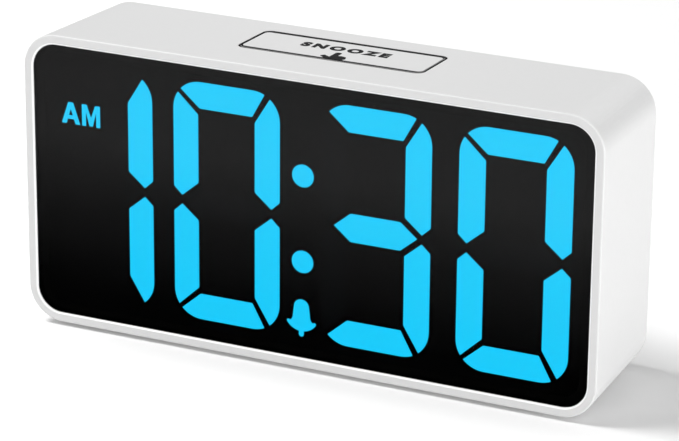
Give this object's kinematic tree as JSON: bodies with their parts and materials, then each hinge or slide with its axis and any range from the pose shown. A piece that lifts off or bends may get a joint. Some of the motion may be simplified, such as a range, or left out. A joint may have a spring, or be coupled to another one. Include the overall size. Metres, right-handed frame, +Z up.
{
  "type": "alarm clock",
  "caption": "Wide white bedside alarm clock with a smoked front window, large cyan lit digits, a snooze key on top and setting controls on the back.",
  "frame": {"origin": "middle of the footprint, at the level the four feet stand on", "axes": "+X to the right as read from the front, +Y to the back, +Z up; the display faces -Y"},
  "size_m": [0.135, 0.036, 0.0674],
  "materials": {
    "casing": "satin white moulded plastic",
    "cover": "fine textured white plastic",
    "smoked_window": "polished smoked acrylic",
    "black_plastic": "matt black",
    "lit": "milky diffuser, lit cyan",
    "unlit": "milky diffuser, dark",
    "board": "green solder mask",
    "led": "yellowish phosphor",
    "chip": "black epoxy",
    "steel": "zinc plated",
    "nickel": "nickel plated",
    "cream_plastic": "nylon",
    "ribbon": "grey flat cable",
    "button": "light grey plastic",
    "paper_cone": "black pressed paper",
    "ferrite": "plated magnet cup",
    "cell": "printed sleeve",
    "rubber": "soft black rubber",
    "red_wire": "insulated wire",
    "black_wire": "insulated wire"
  },
  "bodies": {
    "clock": {"main_housing": "casing", "front_window": "smoked_window", "light_frame": "black_plastic", "digit_1_lit_segments": "lit", "digit_2_lit_segments": "lit", "digit_3_lit_segments": "lit", "digit_4_lit_segments": "lit", "digit_2_unlit_segment": "unlit", "digit_3_unlit_segments": "unlit", "digit_4_unlit_segment": "unlit", "colon_dots": "lit", "am_symbol": "lit", "alarm_bell_symbol": "lit", "display_board": "board", "display_leds": "led", "display_driver_chip": "chip", "board_screws": "steel", "ribbon_headers": "cream_plastic", "ribbon_cable": "ribbon", "snooze_switch_body": "black_plastic", "snooze_board": "board", "rear_cover": "cover", "rear_cover_screws": "steel", "control_board": "board", "set_switch_bodies": "black_plastic", "alarm_slide_body": "steel", "dimmer_body": "black_plastic", "inlet_body": "black_plastic", "inlet_pin": "nickel", "speaker_basket": "steel", "speaker_cone": "paper_cone", "speaker_magnet": "ferrite", "battery_cell_upper": "cell", "battery_cell_lower": "cell", "battery_plus_contact": "nickel", "battery_minus_contact": "nickel", "battery_link_contact": "nickel", "foot_front_left": "rubber", "foot_front_right": "rubber", "foot_rear_left": "rubber", "foot_rear_right": "rubber", "speaker_wires": "red_wire", "battery_wires": "black_wire", "inlet_wires": "black_wire", "snooze_wires": "black_wire"},
    "snooze_key": {"snooze_key": "casing", "snooze_switch_plunger": "black_plastic"},
    "clock_set_button": {"clock_set_button": "button", "clock_set_plunger": "black_plastic"},
    "alarm_set_button": {"alarm_set_button": "button", "alarm_set_plunger": "black_plastic"},
    "hour_button": {"hour_button": "button", "hour_plunger": "black_plastic"},
    "minute_button": {"minute_button": "button", "minute_plunger": "black_plastic"},
    "alarm_switch": {"alarm_slide_knob": "black_plastic"},
    "dimmer": {"dimmer_wheel": "black_plastic"},
    "battery_door": {"battery_door": "cover"}
  },
  "joints": [
    {"name": "snooze_press", "type": "slide", "parent": "clock", "child": "snooze_key", "axis": [0, 0, -1], "range_m": [0, 0.0008], "stiffness_N_per_m": 1500},
    {"name": "clock_set_press", "type": "slide", "parent": "clock", "child": "clock_set_button", "axis": [0, -1, 0], "range_m": [0, 0.0005], "stiffness_N_per_m": 2000},
    {"name": "alarm_set_press", "type": "slide", "parent": "clock", "child": "alarm_set_button", "axis": [0, -1, 0], "range_m": [0, 0.0005], "stiffness_N_per_m": 2000},
    {"name": "hour_press", "type": "slide", "parent": "clock", "child": "hour_button", "axis": [0, -1, 0], "range_m": [0, 0.0005], "stiffness_N_per_m": 2000},
    {"name": "minute_press", "type": "slide", "parent": "clock", "child": "minute_button", "axis": [0, -1, 0], "range_m": [0, 0.0005], "stiffness_N_per_m": 2000},
    {"name": "alarm_switch_slide", "type": "slide", "parent": "clock", "child": "alarm_switch", "axis": [1, 0, 0], "range_m": [0, 0.003]},
    {"name": "dimmer_turn", "type": "hinge", "parent": "clock", "child": "dimmer", "pos_m": [-0.027, 0.0107, 0.013], "axis": [0, 0, 1], "range_deg": [-135, 135]},
    {"name": "battery_door_lift", "type": "slide", "parent": "clock", "child": "battery_door", "axis": [0, 1, 0], "range_m": [0, 0.02]}
  ]
}
